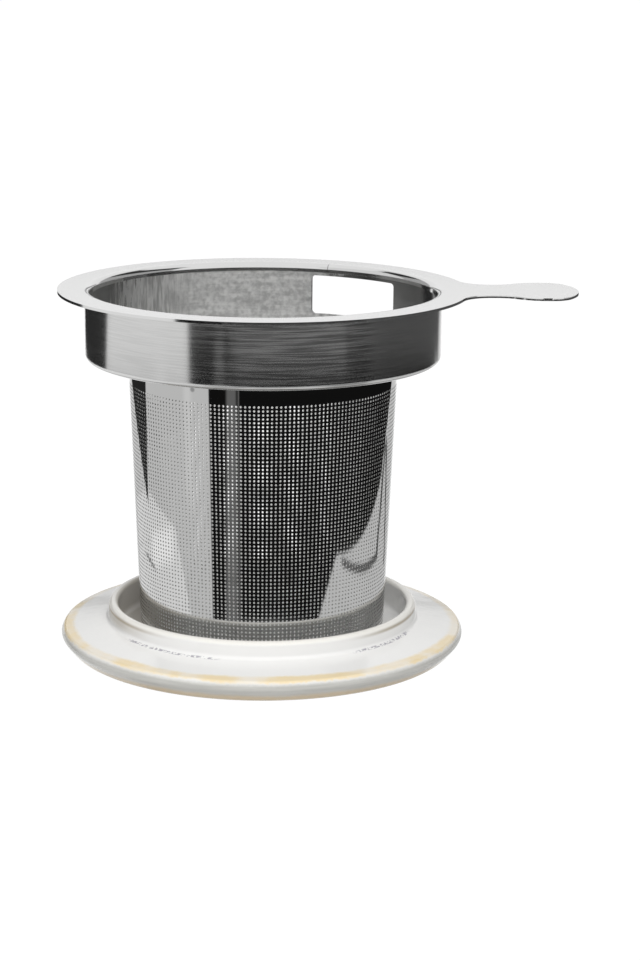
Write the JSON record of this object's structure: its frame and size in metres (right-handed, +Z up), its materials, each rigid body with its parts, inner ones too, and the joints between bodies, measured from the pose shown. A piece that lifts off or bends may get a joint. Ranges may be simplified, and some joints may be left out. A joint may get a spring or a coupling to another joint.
{
  "type": "tea infuser with lid",
  "caption": "Perforated steel tea infuser with a flat rim and tab handle, standing in its upturned glazed stoneware lid, which serves as a drip saucer.",
  "frame": {"origin": "on the lid's axis, at the flat face that the upturned lid lies on", "axes": "+Z up along the axis of the lid and the infuser, +X along the handle"},
  "size_m": [0.1138, 0.09, 0.0808],
  "materials": {
    "glazed_stoneware": "glossy off-white glaze that breaks to tan on the edges",
    "polished_steel": "fine satin polish on stainless steel sheet",
    "brushed_steel": "stainless steel, brushed around the axis",
    "perforated_steel": "etched stainless steel sheet with fine round holes"
  },
  "bodies": {
    "lid": {"lid": "glazed_stoneware"},
    "infuser": {"rim_plate": "polished_steel", "collar": "brushed_steel", "basket_wall": "perforated_steel", "basket_floor": "perforated_steel"}
  },
  "joints": [
    {"name": "infuser_lift", "type": "slide", "parent": "lid", "child": "infuser", "axis": [0, 0, 1], "range_m": [0, 0.12]}
  ]
}
